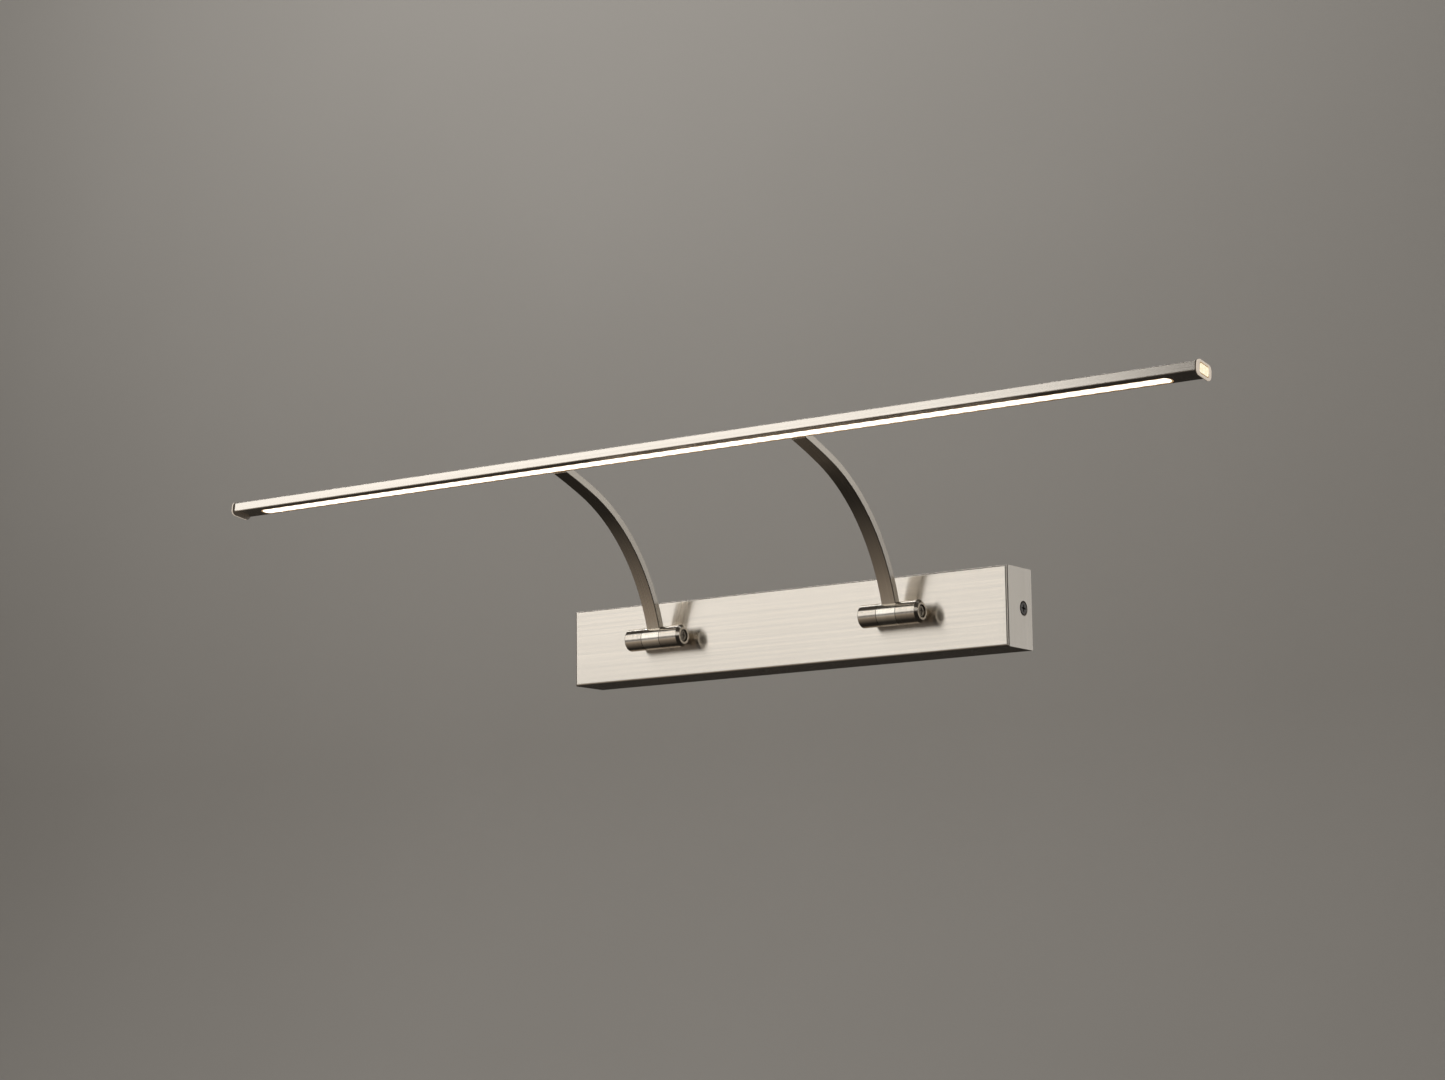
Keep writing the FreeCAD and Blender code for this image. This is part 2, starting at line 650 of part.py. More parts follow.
def make_arm_lead(x, radius=ARM_LEAD_RADIUS):
    lead = swept(arm_lead_edges(), radius)
    lead.translate(Vector(x, 0, 0))
    return lead


def make_arm(x):
    inside_bar = ARM_TOP_SLOPE - 1.0
    under = arm_arcs(0, inside_bar, pivot_slope())
    over = arm_arcs(ARM_THICKNESS, inside_bar, pivot_slope())
    bar_end = Part.LineSegment(under[0].Vertexes[0].Point, over[0].Vertexes[0].Point).toShape()
    wall_end = Part.LineSegment(under[1].Vertexes[1].Point, over[1].Vertexes[1].Point).toShape()
    outline = Part.Wire(Part.sortEdges(under + over + [bar_end, wall_end])[0])
    arm = Part.Face(outline).extrude(Vector(ARM_WIDTH, 0, 0))
    long_edges = [edge for edge in arm.Edges if isinstance(edge.Curve, Part.Circle)]
    arm = arm.makeChamfer(ARM_EDGE, long_edges)
    arm.translate(Vector(x - ARM_WIDTH / 2, 0, 0))
    arm = arm.cut(on_bar(block(x - 20, x + 20, -10, METAL_BACK_U, -10, 20)))
    arm = arm.cut(rod_x(ARM_ROOT_RADIUS, x - 10, x + 10, PIVOT_Y, PIVOT_Z))
    arm = arm.cut(make_arm_lead(x, LEAD_BORE_RADIUS))
    for screw in arm_screw_holes(x):
        arm = arm.cut(screw)
    return arm


def sector(x0, x1, r0, r1, first, last):
    """Part of a ring about the pivot axis, from one angle to another, counted from +Y towards +Z."""
    ring = Part.makePlane(x1 - x0, r1 - r0, Vector(x0, r0, 0), Z_AXIS)
    ring = ring.revolve(Vector(0, 0, 0), X_AXIS, last - first)
    ring.rotate(Vector(0, 0, 0), X_AXIS, first)
    ring.translate(Vector(0, PIVOT_Y, PIVOT_Z))
    return ring


def make_arm_barrel(x, arm):
    """The knuckle's middle barrel: a socket for the arm, and a lead chamber open to the back."""
    barrel = rod_x(BARREL_RADIUS, x + BARREL_LEFT, x + BARREL_RIGHT, PIVOT_Y, PIVOT_Z)
    barrel = barrel.cut(rod_x(PIVOT_RADIUS + RUNNING_GAP, x - 10, x + 10, PIVOT_Y, PIVOT_Z))
    barrel = barrel.cut(sector(x - 1.3, x + 1.3, 2.7, 8.0, -57, 47))
    barrel = barrel.cut(sector(x - 1.3, x + 1.3, 2.7, 4.7, 0, 112))
    return barrel.cut(arm).cut(make_arm_lead(x, LEAD_BORE_RADIUS))


def arm_screw_holes(x):
    """Rods along U for the screws that hold the bar to an arm, in world coordinates."""
    rods = []
    for side in (-1, 1):
        start = Vector(x + side * ARM_SCREW_X, CAVITY_BACK_U, ARM_SCREW_V)
        rods.append(on_bar(Part.makeCylinder(ARM_SCREW_RADIUS, ARM_SCREW_LENGTH, start, Y_AXIS)))
    return rods


def make_arm_screws():
    screws = []
    for x in SIDES.values():
        for side in (-1, 1):
            head = Part.makeCylinder(ARM_SCREW_HEAD_RADIUS, 0.7)
            shank = Part.makeCylinder(ARM_SCREW_RADIUS, ARM_SCREW_LENGTH, Vector(0, 0, -ARM_SCREW_LENGTH))
            slot = block(-2, 2, -0.2, 0.2, 0.35, 1.0)
            screw = fused([head, shank]).cut(slot)
            screw.rotate(Vector(0, 0, 0), X_AXIS, 90)
            screw.translate(Vector(x + side * ARM_SCREW_X, CAVITY_BACK_U, ARM_SCREW_V))
            screws.append(on_bar(group([screw])).Solids[0])
    return group(screws)


def make_bar_channel():
    outer = bar_block(
        -METAL_END_X, METAL_END_X, METAL_FRONT_U, METAL_BACK_U, METAL_LOW_V, METAL_HIGH_V, BAR_CORNER
    )
    cavity = bar_block(
        -METAL_END_X - 1, METAL_END_X + 1, METAL_FRONT_U + BAR_WALL, CAVITY_BACK_U,
        CAVITY_LOW_V, CAVITY_HIGH_V,
    )
    channel = outer.cut(cavity)
    channel = channel.cut(stadium(SLOT_LENGTH, SLOT_WIDTH, 0, CAVITY_LOW_V + 0.1))
    channel = on_bar(channel)
    for x in SIDES.values():
        channel = channel.cut(make_arm_lead(x, LEAD_BORE_RADIUS))
        for screw in arm_screw_holes(x):
            channel = channel.cut(screw)
    slot_x = (SLOT_LENGTH - SLOT_WIDTH) / 2
    slot_back_u = SLOT_U + SLOT_WIDTH / 2
    inner_front_u = METAL_FRONT_U + BAR_WALL
    web = block(-METAL_END_X, METAL_END_X, METAL_FRONT_U, METAL_BACK_U, CAVITY_HIGH_V, METAL_HIGH_V)
    front_leg = block(-METAL_END_X, METAL_END_X, METAL_FRONT_U, inner_front_u, METAL_LOW_V, CAVITY_HIGH_V)
    back_leg = block(-METAL_END_X, METAL_END_X, slot_back_u, METAL_BACK_U, METAL_LOW_V, CAVITY_HIGH_V)
    lip = block(-slot_x, slot_x, inner_front_u, slot_back_u, METAL_LOW_V, CAVITY_LOW_V)
    left_end = block(-METAL_END_X, -slot_x, inner_front_u, slot_back_u, METAL_LOW_V, CAVITY_LOW_V)
    right_end = block(slot_x, METAL_END_X, inner_front_u, slot_back_u, METAL_LOW_V, CAVITY_LOW_V)
    regions = [web, front_leg, back_leg, lip, left_end, right_end]
    return split_walls(channel, [on_bar(region) for region in regions])


def cap_inset(x0, x1, extra, corner):
    """A slab inside the cap's outline, as far in as its face's groove and this much more."""
    u = CAP_FACE_INSET_U + extra
    v = CAP_FACE_INSET_V + extra
    return bar_block(x0, x1, u, CAP_DEPTH - u, v, CAP_HEIGHT - v, corner)


def make_end_cap(side):
    """A moulded plug whose face has a groove around a pad."""
    outer = side * BAR_LENGTH / 2
    rim = sorted((outer, outer - side * CAP_RIM))
    face = bar_block(rim[0], rim[1], 0, CAP_DEPTH, 0, CAP_HEIGHT, CAP_CORNER)
    floor = sorted((outer - side * 0.45, outer + side))
    ring = cap_inset(floor[0], floor[1], 0, 1.6)
    pad = cap_inset(floor[0], floor[1], CAP_FACE_GROOVE, 1.0)
    face = face.cut(ring.cut(pad))
    plug = sorted((outer - side * CAP_RIM, side * (METAL_END_X - 6)))
    body = bar_block(
        plug[0], plug[1], METAL_FRONT_U + BAR_WALL + 0.05, CAVITY_BACK_U - 0.05,
        CAVITY_LOW_V + 0.05, CAVITY_HIGH_V - 0.05, 0.4,
    )
    hollow = sorted((side * (METAL_END_X - 7), side * (METAL_END_X - 1)))
    body = body.cut(bar_block(
        hollow[0], hollow[1], METAL_FRONT_U + BAR_WALL + 1.1, CAVITY_BACK_U - 1.1,
        CAVITY_LOW_V + 0.8, CAVITY_HIGH_V - 0.8,
    ))
    return on_bar(fused([face, body]))


def make_diffuser():
    strip = stadium(SLOT_LENGTH - 0.2, SLOT_WIDTH - 0.2, METAL_LOW_V + 0.1, CAVITY_LOW_V)
    flange = stadium(SLOT_LENGTH + 0.8, SLOT_WIDTH + 0.2, CAVITY_LOW_V, CAVITY_LOW_V + DIFFUSER_FLANGE)
    return on_bar(fused([strip, flange]))


def make_led_board():
    board = block(
        -LED_BOARD_LENGTH / 2, LED_BOARD_LENGTH / 2, LED_BOARD_FRONT_U, LED_BOARD_BACK_U,
        CAVITY_HIGH_V - BOARD_THICKNESS, CAVITY_HIGH_V,
    )
    return on_bar(board)


def make_led_chips():
    low = CAVITY_HIGH_V - BOARD_THICKNESS - LED_THICKNESS
    chips = []
    for index in range(LED_COUNT):
        x = (index - (LED_COUNT - 1) / 2) * LED_PITCH
        chip = block(x - 1.4, x + 1.4, SLOT_U - 1.75, SLOT_U + 1.75, low, low + LED_THICKNESS)
        chips.append(on_bar(chip))
    return group(chips)


def make_straight_lead(z):
    return rod_x(LEAD_RADIUS, DRIVER_X1 - 3, TERMINAL_SCREW_X[0] + 2, LEAD_Y, z)


def make_earth_lead():
    edges = bent_edges([
        Vector(TERMINAL_SCREW_X[0] + 2, LEAD_Y, EARTH_Z),
        Vector(EARTH_X, LEAD_Y, EARTH_Z),
        Vector(EARTH_X, EARTH_BARREL_Y, -7.5),
        Vector(EARTH_X, EARTH_BARREL_Y, 3.0),
    ], 2.8)
    return swept(edges, LEAD_RADIUS)


def make_output_lead_left():
    edges = bent_edges([
        Vector(DRIVER_X0 + 3, LEAD_Y, OUTPUT_LEFT_Z),
        Vector(-ARM_X, LEAD_Y, OUTPUT_LEFT_Z),
        Vector(-ARM_X, OUTPUT_END_Y, 0),
    ], 6.0)
    return swept(edges, OUTPUT_RADIUS)


def make_output_lead_right():
    edges = bent_edges([
        Vector(DRIVER_X1 - 3, LEAD_Y, OUTPUT_Z),
        Vector(ARM_X - 13, LEAD_Y, OUTPUT_Z),
        Vector(ARM_X, LEAD_Y, 0),
        Vector(ARM_X, OUTPUT_END_Y, 0),
    ], 5.0)
    return swept(edges, OUTPUT_RADIUS)


def make_parts():
    parts = {
        "wall_cover": make_wall_cover(),
        "wall_bracket": make_wall_bracket(),
        "side_screws": make_side_screws(),
        "driver_case": make_driver_case(),
        "driver_lid": make_driver_lid(),
        "driver_board": make_driver_board(),
        "driver_transformer": make_driver_transformer(),
        "driver_capacitor": make_driver_capacitor(),
        "driver_screws": make_driver_screws(),
        "terminal_block": make_terminal_block(),
        "terminal_tubes": make_terminal_tubes(),
        "terminal_screws": make_terminal_screws(),
        "terminal_block_screw": make_terminal_block_screw(),
        "earth_washer": make_earth_washer(),
        "earth_ring_terminal": make_earth_ring_terminal(),
        "earth_screw": make_earth_screw(),
        "cable_grommet": make_cable_grommet(),
        "live_lead": make_straight_lead(LIVE_Z),
        "neutral_lead": make_straight_lead(NEUTRAL_Z),
        "earth_lead": make_earth_lead(),
        "output_lead_left": make_output_lead_left(),
        "output_lead_right": make_output_lead_right(),
        "bar_channel": make_bar_channel(),
        "end_cap_left": make_end_cap(-1),
        "end_cap_right": make_end_cap(1),
        "diffuser": make_diffuser(),
        "led_board": make_led_board(),
        "led_chips": make_led_chips(),
        "arm_screws": make_arm_screws(),
        "knuckle_studs": on_both_sides(make_stud),
        "lock_washers": on_both_sides(make_lock_washer),
        "stud_nuts": on_both_sides(make_stud_nut),
        "friction_washers": make_friction_washers(),
        "pivot_screws": on_both_sides(make_pivot_screw),
    }
    for side, x in SIDES.items():
        arm = make_arm(x)
        parts["arm_" + side] = arm
        parts["arm_barrel_" + side] = make_arm_barrel(x, arm)
        parts["arm_lead_" + side] = make_arm_lead(x)
        parts["knuckle_base_" + side] = make_knuckle_base(x)
    return parts


def main():
    os.makedirs("parts", exist_ok=True)
    for name, shape in make_parts().items():
        shape.exportStep("parts/" + name + ".step")
        print(name, len(shape.Solids), "solids, valid:", shape.isValid(), "volume:", round(shape.Volume, 2))


main()
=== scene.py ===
import math

import bpy
from mathutils import Matrix, Vector

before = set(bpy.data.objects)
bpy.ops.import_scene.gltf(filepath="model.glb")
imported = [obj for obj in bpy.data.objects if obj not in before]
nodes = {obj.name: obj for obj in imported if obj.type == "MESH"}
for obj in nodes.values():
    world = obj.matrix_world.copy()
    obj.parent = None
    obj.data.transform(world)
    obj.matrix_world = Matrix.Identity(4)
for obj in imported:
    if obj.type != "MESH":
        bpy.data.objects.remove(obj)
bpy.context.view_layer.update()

# The bar as designed: its tilt and its section's front-bottom corner. In the section, depth runs
# back from that corner and height runs up from it.
BAR_TILT = math.radians(7.75)
BAR_CORNER = Vector((0.0, -0.1322, 0.0791))
CAP_CENTRE_DEPTH = 0.0071
CAP_CENTRE_HEIGHT = 0.0038
SLOT_DEPTH = 0.00845
SLOT_HALF_LENGTH = 0.2835
SLOT_HALF_WIDTH = 0.00375
LED_PITCH = 0.008

# The centre and radius of the arms' main arc, as designed.
ARM_CENTRE = Vector((0.0, -0.1343, -0.0232))
ARM_RADIUS = 0.103

# Brushing, in noise cells per metre: across the lines, then along them.
LONG_FACES = (3600.0, 16.0)
END_FACES = (2400.0, 20.0)
TURNED = (5200.0, 60.0)
ARMS = (4200.0, 28.0)


class Shader:
    """One material, built node by node."""

    def __init__(self, name):
        self.material = bpy.data.materials.new(name)
        self.material.use_nodes = True
        self.tree = self.material.node_tree
        self.tree.nodes.clear()
        self.output = self.node("ShaderNodeOutputMaterial")

    def node(self, kind, inputs=None, **settings):
        made = self.tree.nodes.new(kind)
        for name, value in settings.items():
            setattr(made, name, value)
        for key, value in (inputs or {}).items():
            self.feed(made.inputs[key], value)
        return made

    def feed(self, socket, value):
        if isinstance(value, bpy.types.NodeSocket):
            self.tree.links.new(value, socket)
        else:
            socket.default_value = value

    def math(self, operation, a, b=0.0, c=0.0):
        return self.node("ShaderNodeMath", {0: a, 1: b, 2: c}, operation=operation).outputs[0]

    def vector(self, operation, a, b=(0.0, 0.0, 0.0)):
        made = self.node("ShaderNodeVectorMath", {0: a, 1: b}, operation=operation)
        return made.outputs["Value"] if operation in ("DOT_PRODUCT", "LENGTH") else made.outputs[0]

    def scale(self, colour, factor):
        inputs = {0: colour, "Scale": factor}
        return self.node("ShaderNodeVectorMath", inputs, operation="SCALE").outputs[0]

    def split(self, vector):
        return self.node("ShaderNodeSeparateXYZ", {0: vector}).outputs

    def join(self, x, y, z):
        return self.node("ShaderNodeCombineXYZ", {0: x, 1: y, 2: z}).outputs[0]

    def noise(self, vector, scale=1.0, detail=2.0, roughness=0.5):
        inputs = {"Vector": vector, "Scale": scale, "Detail": detail, "Roughness": roughness}
        return self.node("ShaderNodeTexNoise", inputs).outputs["Fac"]

    def ramp(self, value, low, high, to_low=0.0, to_high=1.0, smooth=False):
        kind = "SMOOTHSTEP" if smooth else "LINEAR"
        made = self.node("ShaderNodeMapRange", interpolation_type=kind)
        for key, item in enumerate((value, low, high, to_low, to_high)):
            self.feed(made.inputs[key], item)
        return made.outputs[0]

    def mix_colour(self, factor, a, b):
        made = self.node("ShaderNodeMix", data_type="RGBA")
        for key, item in zip((0, 6, 7), (factor, a, b)):
            self.feed(made.inputs[key], item)
        return made.outputs[2]

    def mix_vector(self, factor, a, b):
        made = self.node("ShaderNodeMix", data_type="VECTOR")
        for key, item in zip((0, 4, 5), (factor, a, b)):
            self.feed(made.inputs[key], item)
        return made.outputs[1]

    def coordinates(self):
        return self.node("ShaderNodeTexCoord").outputs

    def to_world(self, vector):
        spaces = {"convert_from": "OBJECT", "convert_to": "WORLD"}
        return self.node("ShaderNodeVectorTransform", {0: vector}, **spaces).outputs[0]

    def bump(self, height, distance):
        inputs = {"Height": height, "Distance": distance, "Strength": 1.0}
        return self.node("ShaderNodeBump", inputs).outputs[0]

    def principled(self, **inputs):
        named = {key.replace("_", " "): value for key, value in inputs.items()}
        made = self.node("ShaderNodeBsdfPrincipled", named)
        self.feed(self.output.inputs[0], made.outputs[0])
        return made


def brushed_metal(name, colour, roughness, lines, across, anisotropy=0.9):
    """Brushed plated metal. lines gives stretched noise coordinates, across the tangent."""
    fine_share, broad_share, broad_scale = 0.4, 0.6, 0.21
    darkest, lightest, cloud_shade = 0.925, 1.045, 0.015
    glossiest, dullest, cloud_gloss = 0.94, 1.06, 0.01
    line_depth = 0.0000014
    s = Shader(name)
    coordinates = s.coordinates()
    place, normal = coordinates["Object"], coordinates["Normal"]
    stretched = lines(s, place, normal)
    fine = s.noise(stretched, 1.0, 3.0, 0.6)
    broad = s.noise(s.vector("MULTIPLY", stretched, (broad_scale,) * 3), 1.0, 2.0, 0.5)
    cloud = s.noise(place, 14.0, 2.0, 0.5)
    streaks = s.math(
        "ADD", s.math("MULTIPLY", fine, fine_share), s.math("MULTIPLY", broad, broad_share),
    )
    shade = s.math(
        "ADD", s.ramp(streaks, 0.35, 0.65, darkest, lightest),
        s.ramp(cloud, 0.3, 0.7, -cloud_shade, cloud_shade),
    )
    rough = s.math(
        "ADD", s.ramp(streaks, 0.3, 0.7, roughness * glossiest, roughness * dullest),
        s.ramp(cloud, 0.35, 0.65, -cloud_gloss, cloud_gloss),
    )
    s.principled(
        Base_Color=s.scale(colour, shade), Metallic=1.0, Roughness=rough, Anisotropic=anisotropy,
        Tangent=across(s, place, normal), Normal=s.bump(streaks, line_depth),
    )
    return s.material


def is_end_face(s, normal):
    return s.math("GREATER_THAN", s.math("ABSOLUTE", s.split(normal)[0]), 0.7)


def lines_along_x(s, place, normal):
    fine, along = LONG_FACES
    return s.vector("MULTIPLY", place, (along, fine, fine))


def lines_on_cover(s, place, normal):
    """Along X on the long faces and along Z on the two end faces."""
    fine, along = END_FACES
    upright = s.vector("MULTIPLY", place, (fine, fine, along))
    return s.mix_vector(is_end_face(s, normal), lines_along_x(s, place, normal), upright)


def lines_around_x(s, place, normal):
    fine, along = TURNED
    return s.vector("MULTIPLY", place, (fine, along, along))


def lines_along_arm(s, place, normal):
    fine, along = ARMS
    x, y, z = s.split(s.vector("SUBTRACT", place, tuple(ARM_CENTRE)))[:3]
    reach = s.vector("LENGTH", s.join(0.0, y, z))
    travel = s.math("MULTIPLY", s.math("ARCTAN2", z, y), ARM_RADIUS * along)
    return s.join(s.math("MULTIPLY", x, fine), s.math("MULTIPLY", reach, fine), travel)


def tangent_on_bar(s, place, normal):
    return s.to_world(s.vector("CROSS_PRODUCT", normal, (1.0, 0.0, 0.0)))


def tangent_on_cover(s, place, normal):
    long_face = s.vector("CROSS_PRODUCT", normal, (1.0, 0.0, 0.0))
    end_face = s.vector("CROSS_PRODUCT", normal, (0.0, 0.0, 1.0))
    return s.to_world(s.mix_vector(is_end_face(s, normal), long_face, end_face))


def tangent_on_turning(s, place, normal):
    return s.to_world(s.join(1.0, 0.0, 0.0))


def tangent_on_arm(s, place, normal):
    y, z = s.split(s.vector("SUBTRACT", place, tuple(ARM_CENTRE)))[1:3]
    travel = s.join(0.0, s.math("MULTIPLY", z, -1.0), y)
    return s.to_world(s.vector("CROSS_PRODUCT", normal, s.vector("NORMALIZE", travel)))


def moulded(name, colour, roughness, grain=900.0, depth=0.00004, variation=0.06, **inputs):
    """Moulded or coated surface: slight colour clouds, uneven gloss and a fine grain."""
    glossiest, dullest = 0.85, 1.15
    s = Shader(name)
    place = s.coordinates()["Object"]
    cloud = s.noise(place, 60.0, 3.0, 0.55)
    fine = s.noise(place, grain, 2.0, 0.6)
    tint = s.scale(colour, s.ramp(cloud, 0.3, 0.7, 1.0 - variation, 1.0 + variation))
    rough = s.ramp(fine, 0.3, 0.7, roughness * glossiest, min(roughness * dullest, 1.0))
    s.principled(Base_Color=tint, Roughness=rough, Normal=s.bump(fine, depth), **inputs)
    return s.material


def from_bar_corner(s, place, direction):
    offset = s.vector("SUBTRACT", place, tuple(BAR_CORNER))
    return s.vector("DOT_PRODUCT", offset, direction)


def bar_depth(s, place):
    return from_bar_corner(s, place, (0.0, math.cos(BAR_TILT), -math.sin(BAR_TILT)))


def bar_height(s, place):
    return from_bar_corner(s, place, (0.0, math.sin(BAR_TILT), math.cos(BAR_TILT)))


def slot_distance(s, place, x):
    """Distance from the slot's outline, zero on the outline and growing inwards."""
    side = s.math("SUBTRACT", bar_depth(s, place), SLOT_DEPTH)
    straight = SLOT_HALF_LENGTH - SLOT_HALF_WIDTH
    past = s.math("MAXIMUM", s.math("SUBTRACT", s.math("ABSOLUTE", x), straight), 0.0)
    return s.math("SUBTRACT", SLOT_HALF_WIDTH, s.vector("LENGTH", s.join(past, side, 0.0)))


def diffuser_glow():
    """Opal strip lit by a row of LEDs: white hot in the middle, amber at its rim, beaded."""
    bead_reach, speck_reach = 0.00013, 0.00006
    rim_start, rim_end = 0.00045, 0.0014
    rim_strength, core_strength = 0.30, 2.6
    bead_dim, bead_bright = 0.86, 1.08
    amber, hot = (1.0, 0.58, 0.24, 1.0), (1.0, 0.95, 0.84, 1.0)
    s = Shader("diffuser_opal_lit")
    place = s.coordinates()["Object"]
    x = s.split(place)[0]
    wave = s.math("COSINE", s.math("MULTIPLY", x, 2.0 * math.pi / LED_PITCH))
    speck = s.ramp(s.noise(place, 700.0, 2.0, 0.5), 0.3, 0.7, -speck_reach, speck_reach)
    uneven = s.math("ADD", s.math("MULTIPLY", wave, bead_reach), speck)
    inside = s.math("ADD", slot_distance(s, place, x), uneven)
    core = s.ramp(inside, rim_start, rim_end, smooth=True)
    bead = s.ramp(wave, -1.0, 1.0, bead_dim, bead_bright)
    s.principled(
        Base_Color=(0.85, 0.83, 0.78, 1.0), Roughness=0.45,
        Emission_Color=s.mix_colour(core, amber, hot),
        Emission_Strength=s.math(
            "MULTIPLY", s.ramp(core, 0.0, 1.0, rim_strength, core_strength), bead,
        ),
        Normal=s.bump(s.noise(place, 2600.0, 2.0, 0.5), 0.00001),
    )
    return s.material


def cap_glow():
    """Frosted end cap: pale rim, amber groove, a pad that the LEDs light unevenly, and painted
    shade on its sides next to the metal.
    """
    # Reach is the distance from the bar's middle: 0.3 at the cap's face, 0.299 at its rim's back.
    pad_reach, groove_reach, groove_margin = 0.2998, 0.29945, 0.0003
    rim_inner_reach, rim_back_reach = 0.2993, 0.29905
    pad_half_depth, pad_half_height = 0.0044, 0.0023
    face_half_depth, face_half_height = 0.0055, 0.0032
    rim_strength, pad_least, pad_most = 0.42, 0.30, 0.60
    groove_loss, shade_loss = 0.65, 0.9
    s = Shader("cap_frosted_lit")
    coordinates = s.coordinates()
    place = coordinates["Object"]
    depth, height = bar_depth(s, place), bar_height(s, place)
    reach = s.math("ABSOLUTE", s.split(place)[0])

    def within(half_depth, half_height):
        in_depth = s.math("COMPARE", depth, CAP_CENTRE_DEPTH, half_depth)
        in_height = s.math("COMPARE", height, CAP_CENTRE_HEIGHT, half_height)
        return s.math("MULTIPLY", in_depth, in_height)

    def lessened(value, mask, loss):
        return s.math("MULTIPLY", value, s.math("SUBTRACT", 1.0, s.math("MULTIPLY", mask, loss)))

    # Painted shade: the cap's side faces next to the metal, and all of the cap behind its rim's
    # back, are marked for shading.
    is_side = s.math("LESS_THAN", s.math("ABSOLUTE", s.split(coordinates["Normal"])[0]), 0.5)
    shaded_inner_edge = s.math("MULTIPLY", is_side, s.math("LESS_THAN", reach, rim_inner_reach))
    painted_shade = s.math("MAXIMUM", shaded_inner_edge, s.math("LESS_THAN", reach, rim_back_reach))
    pad = s.math(
        "MULTIPLY", within(pad_half_depth, pad_half_height),
        s.math("GREATER_THAN", reach, pad_reach),
    )
    groove = s.math(
        "MULTIPLY", s.math("COMPARE", reach, groove_reach, groove_margin),
        within(face_half_depth, face_half_height),
    )
    mottle = s.noise(place, 900.0, 3.0, 0.65)
    amber, pale = (1.0, 0.80, 0.45, 1.0), (1.0, 0.96, 0.78, 1.0)
    warm = s.mix_colour(s.ramp(mottle, 0.35, 0.65), amber, pale)
    glow = s.mix_colour(pad, (1.0, 0.84, 0.68, 1.0), warm)
    glow = s.mix_colour(groove, glow, (0.85, 0.52, 0.16, 1.0))
    pad_strength = s.math("MULTIPLY", pad, s.ramp(mottle, 0.3, 0.7, pad_least, pad_most))
    strength = s.math("ADD", pad_strength, rim_strength)
    # The painted shade takes away most of the glow and turns the rim's colour a near-black brown.
    strength = lessened(lessened(strength, groove, groove_loss), painted_shade, shade_loss)
    rim = s.mix_colour(painted_shade, (0.90, 0.84, 0.74, 1.0), (0.16, 0.12, 0.08, 1.0))
    s.principled(
        Base_Color=s.mix_colour(groove, rim, (0.50, 0.36, 0.18, 1.0)),
        Roughness=s.ramp(mottle, 0.3, 0.7, 0.2, 0.36), Emission_Color=glow,
        Emission_Strength=strength, Normal=s.bump(mottle, 0.00003),
    )
    return s.material


def dress(node, material):
    target = nodes[node]
    for slot in target.material_slots:
        slot.material = material


cover_nickel = brushed_metal(
    "cover_brushed_nickel", (0.83, 0.775, 0.70), 0.22, lines_on_cover, tangent_on_cover,
)
bar_nickel = brushed_metal(
    "bar_brushed_nickel", (0.90, 0.845, 0.77), 0.25, lines_along_x, tangent_on_bar,
)
arm_nickel = brushed_metal(
    "arm_brushed_nickel", (0.80, 0.74, 0.655), 0.28, lines_along_arm, tangent_on_arm,
)
knuckle_nickel = brushed_metal(
    "knuckle_turned_nickel", (0.74, 0.68, 0.60), 0.20, lines_around_x, tangent_on_turning, 0.3,
)
# Painted light: the knuckles' turned nickel, only lighter in colour, standing in for the light that
# falls on the barrels.
lit_barrel_nickel = brushed_metal(
    "barrel_nickel_painted_lighter", (0.95, 0.90, 0.81), 0.20, lines_around_x, tangent_on_turning, 0.3,
)
zinc = moulded(
    "zinc_plate", (0.62, 0.63, 0.64), 0.34, grain=350.0, depth=0.00001, variation=0.08,
    Metallic=1.0,
)
black_screw = moulded(
    "black_screw", (0.10, 0.095, 0.09), 0.26, grain=1500.0, depth=0.00001, variation=0.2,
    Metallic=0.9,
)
pivot_screw = moulded(
    "pivot_screw_steel", (0.30, 0.275, 0.24), 0.2, grain=1500.0, depth=0.00001, variation=0.15,
    Metallic=1.0,
)
rubber = moulded(
    "grommet_rubber", (0.02, 0.02, 0.02), 0.7, grain=1200.0, depth=0.00003, variation=0.2,
)
white_plastic = moulded("driver_plastic", (0.74, 0.74, 0.71), 0.5)
nylon = moulded("terminal_nylon", (0.72, 0.70, 0.62), 0.42)
dark_nylon = moulded("washer_nylon", (0.02, 0.018, 0.016), 0.4)
green_board = moulded("board_mask", (0.02, 0.12, 0.05), 0.3)
white_board = moulded("led_board_mask", (0.82, 0.82, 0.79), 0.4)
yellow_tape = moulded("transformer_tape", (0.70, 0.45, 0.03), 0.35)
black_sleeve = moulded("capacitor_sleeve", (0.02, 0.02, 0.035), 0.25)
brass = moulded(
    "terminal_brass", (0.62, 0.44, 0.18), 0.3, grain=700.0, depth=0.00001, variation=0.08,
    Metallic=1.0,
)
brown_wire = moulded("brown_sleeve", (0.10, 0.035, 0.014), 0.4)
blue_wire = moulded("blue_sleeve", (0.02, 0.06, 0.36), 0.4)
green_wire = moulded("green_sleeve", (0.06, 0.28, 0.02), 0.4)
white_wire = moulded("white_sleeve", (0.76, 0.75, 0.71), 0.4)
phosphor = moulded(
    "led_phosphor", (0.90, 0.66, 0.12), 0.3,
    Emission_Color=(1.0, 0.84, 0.5, 1.0), Emission_Strength=1.5,
)
diffuser = diffuser_glow()
cap = cap_glow()

